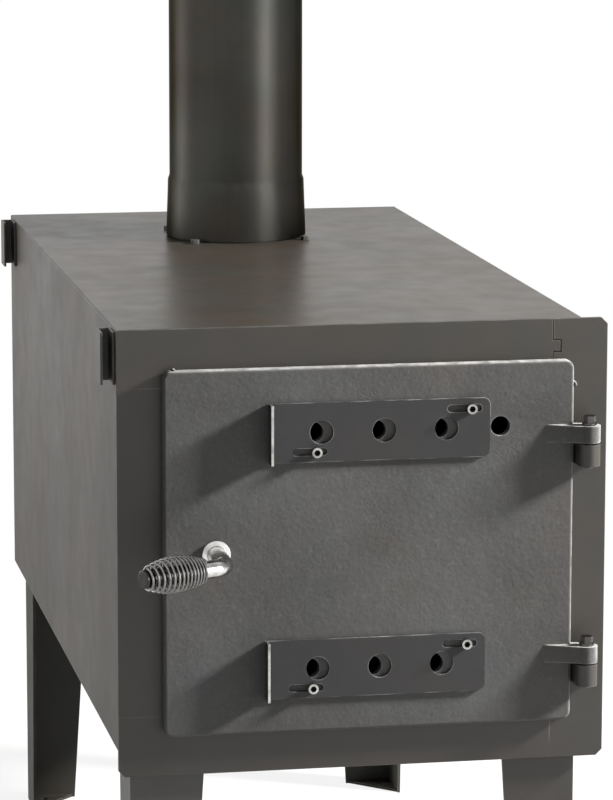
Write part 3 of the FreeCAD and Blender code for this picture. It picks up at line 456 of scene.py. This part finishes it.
def second_look(piece, look, chosen):
    """Gives another material to the chosen faces of a piece."""
    piece.data.materials.append(look)
    for face in piece.data.polygons:
        if chosen(face):
            face.material_index = 1


def flange_end(node):
    """Tells the faces at the front end of a slide's flange."""
    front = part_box(node)[0].y
    return lambda face: face.center.y < front + CUT_END


def loose_parts(mesh):
    """The vertex places of each separate part of a mesh."""
    work = bmesh.new()
    work.from_mesh(mesh)
    left = set(work.verts)
    parts = []
    while left:
        reached = [left.pop()]
        part = []
        while reached:
            vertex = reached.pop()
            part.append(vertex.co.copy())
            for edge in vertex.link_edges:
                other = edge.other_vert(vertex)
                if other in left:
                    left.remove(other)
                    reached.append(other)
        parts.append(part)
    work.free()
    return parts


def halfway(places, axis):
    """The middle of what some places span along an axis."""
    along = [place[axis] for place in places]
    return (min(along) + max(along)) / 2


def screw_socket(mesh):
    """Tells the faces inside the sockets of the screw heads."""
    heads = [(halfway(part, X), halfway(part, Z), min(place.y for place in part)) for part in loose_parts(mesh)]

    def inside(face):
        return any(math.hypot(face.center.x - x, face.center.z - z) < SOCKET_RADIUS
                   and front + SOCKET_RIM < face.center.y < front + SOCKET_DEPTH for x, z, front in heads)
    return inside


def nub(name, place, size):
    """A small uneven lump left on the door's edge by the casting."""
    work = bmesh.new()
    bmesh.ops.create_icosphere(work, subdivisions=3, radius=1.0)
    for vertex in work.verts:
        x, y, z = vertex.co
        swell = 1.0 + 0.13 * math.sin(3.1 * x + 1.7 * z) + 0.09 * math.sin(4.3 * y - 2.2 * x)
        vertex.co = Vector(place) + Vector((x * size[0], y * size[1], z * size[2])) * swell
    mesh = bpy.data.meshes.new(name)
    work.to_mesh(mesh)
    work.free()
    mesh.shade_smooth()
    piece = placed(name, mesh)
    dress(piece, LOOKS["cast_iron"])
    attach(piece, "door")


for node in ("upper_vent_slide", "lower_vent_slide"):
    second_look(dressed[node], BARE_LOOK, flange_end(node))
# The faces inside the screw sockets take the near-black paint: painted shade
second_look(dressed["vent_screws"], SOCKET_SHADE_LOOK, screw_socket(dressed["vent_screws"].data))
door_low, door_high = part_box("door")
rim = [vertex.co for vertex in nodes["door"].data.vertices if vertex.co.z > door_high.z - 0.012]
rim_right = max(place.x for place in rim)
rim_middle = halfway(rim, 1)
nub("door_casting_nub_top", (door_low.x + 0.0088, rim_middle, door_high.z - 0.0003), (0.0021, 0.0018, 0.0020))
nub("door_casting_nub_side", (rim_right + 0.0004, rim_middle - 0.0012, door_high.z - 0.0195),
    (0.0023, 0.0020, 0.0025))


# Stage: pale floor, white surround, soft studio light
WHITE = (1.0, 1.0, 1.0, 1.0)
SURROUND_LIGHT = 0.145
RIGHT_DIMS = (0.35, 0.85)
RIGHT_LEVEL = 0.30
FLOOR_HALF = 16.0
FLOOR_DROP = 0.0002
FLOOR_ALBEDO = 0.34
FLOOR_TONE = (0.72, 0.71, 0.70, 1.0)
FLOOR_MIDDLE = (0.0, 0.0, 0.0)
FLOOR_WHITE = 0.84
FLOOR_FADE = (0.7, 2.2)
SHADED_FLOOR = (-0.5, 1.1, 0.0)
SHADED_REACH = (0.4, 2.4)
SHADED_LEVEL = 0.56
DOOR_MIDDLE = (0.0, door_low.y, 0.40)


def surround_share(tree):
    """1 for rays that should see a white surround: from the camera, from gloss and through glass."""
    path = tree.add("ShaderNodeLightPath").outputs
    both = tree.maths("MAXIMUM", path["Is Camera Ray"], path["Is Glossy Ray"])
    return tree.maths("MAXIMUM", both, path["Is Transmission Ray"])


def white_to_camera(tree, level):
    """A level that other rays see, and 1 for rays from the camera."""
    path = tree.add("ShaderNodeLightPath").outputs
    return tree.maths("MAXIMUM", level, path["Is Camera Ray"])


def white_world():
    """A white surround, dimmer on the right in reflections, that lights the object softly."""
    world = bpy.data.worlds.new("studio")
    bpy.context.scene.world = world
    world.use_nodes = True
    tree = Nodes(world.node_tree)
    soft = tree.add("ShaderNodeBackground")
    white = tree.add("ShaderNodeBackground")
    for shader in (soft, white):
        shader.inputs["Color"].default_value = WHITE
    soft.inputs["Strength"].default_value = SURROUND_LIGHT
    way = tree.add("ShaderNodeTexCoord").outputs["Generated"]
    dim = tree.span(tree.part(way, "X"), *RIGHT_DIMS, 1.0, RIGHT_LEVEL)
    tree.link(white_to_camera(tree, dim), white.inputs["Strength"])
    surface = tree.mixed(surround_share(tree), soft.outputs["Background"], white.outputs["Background"])
    tree.link(surface, tree.add("ShaderNodeOutputWorld").inputs["Surface"])


def pale_floor():
    """A floor that lights the object by its albedo, and looks white with a soft shadow."""
    mesh = bpy.data.meshes.new("floor")
    corners = [(x * FLOOR_HALF, y * FLOOR_HALF, 0.0) for x, y in ((-1, -1), (1, -1), (1, 1), (-1, 1))]
    mesh.from_pydata(corners, [], [(0, 1, 2, 3)])
    floor = placed("floor", mesh)
    floor.location.z = -FLOOR_DROP
    material = bpy.data.materials.new("pale_floor")
    material.use_nodes = True
    tree = Nodes(material.node_tree)
    matte = tree.add("ShaderNodeBsdfDiffuse")
    matte.inputs["Color"].default_value = (FLOOR_ALBEDO, FLOOR_ALBEDO, FLOOR_ALBEDO, 1.0)
    pale = tree.add("ShaderNodeBsdfDiffuse")
    pale.inputs["Color"].default_value = FLOOR_TONE
    white = tree.add("ShaderNodeEmission")
    white.inputs["Color"].default_value = WHITE
    place = tree.add("ShaderNodeTexCoord").outputs["Object"]
    # Painted shadow: the floor is dimmer left of and behind the stove, for reflections only; the camera still sees
    # it white
    shaded = tree.span(tree.distance(place, SHADED_FLOOR), *SHADED_REACH, SHADED_LEVEL, 1.0)
    tree.link(white_to_camera(tree, shaded), white.inputs["Strength"])
    fade = tree.span(tree.distance(place, FLOOR_MIDDLE), *FLOOR_FADE, FLOOR_WHITE, 1.0)
    seen = tree.mixed(fade, pale.outputs["BSDF"], white.outputs["Emission"])
    surface = tree.mixed(surround_share(tree), matte.outputs["BSDF"], seen)
    tree.link(surface, tree.add("ShaderNodeOutputMaterial").inputs["Surface"])
    mesh.materials.append(material)


def soft_box(name, place, target, width, height, strength, glossy=True, diffuse=True):
    """An area lamp that shows a surface facing it, at its target, at strength times its own colour."""
    lamp = bpy.data.lights.new(name, "AREA")
    lamp.shape = "RECTANGLE"
    lamp.size = width
    lamp.size_y = height
    reach = Vector(target) - Vector(place)
    lamp.energy = strength * math.pi ** 2 * reach.length_squared
    holder = placed(name, lamp)
    holder.visible_glossy = glossy
    holder.visible_diffuse = diffuse
    holder.location = place
    holder.rotation_euler = reach.to_track_quat("-Z", "Y").to_euler()


white_world()
pale_floor()
soft_box("key", (2.15, door_low.y - 0.40, 1.60), DOOR_MIDDLE, width=0.34, height=0.34, strength=5.5, glossy=False)
soft_box("left_rim", (-2.3, 1.55, 1.3), (-0.10, 0.15, 0.60), width=1.0, height=1.4, strength=0.95, glossy=False)
soft_box("front_fill", (1.75, door_low.y - 2.0, 0.95), DOOR_MIDDLE, width=0.6, height=1.3, strength=0.05)
soft_box("gloss_strip", (1.80, -1.64, 0.75), (0.0, 0.2, 0.75), width=0.9, height=1.4, strength=0.36, diffuse=False)
soft_box("left_strip", (-2.20, 1.40, 0.36), (0.0, 0.2, 0.36), width=1.0, height=0.7, strength=0.14, diffuse=False)

# Camera, at the photograph's viewing angle
CAMERA_PLACE = (-0.59595, -3.27620, 1.0347)
CAMERA_YAW = math.radians(10.625)
CAMERA_PITCH = math.radians(9.882)
CAMERA_ROLL = math.radians(0.070)
CAMERA_REACH = 50.0
FOCAL_PIXELS = 3946.2
PICTURE_HEIGHT = 800.0
SENSOR = 36.0


def add_camera():
    camera = bpy.data.cameras.new("camera")
    camera.sensor_width = SENSOR
    camera.lens = FOCAL_PIXELS / PICTURE_HEIGHT * SENSOR
    camera.clip_end = CAMERA_REACH
    holder = placed("camera", camera)
    turn = (Matrix.Rotation(-CAMERA_YAW, 4, "Z") @ Matrix.Rotation(math.pi / 2 - CAMERA_PITCH, 4, "X")
            @ Matrix.Rotation(CAMERA_ROLL, 4, "Z"))
    holder.matrix_world = Matrix.Translation(CAMERA_PLACE) @ turn
    bpy.context.scene.camera = holder


add_camera()
bpy.context.scene.view_settings.view_transform = "Standard"
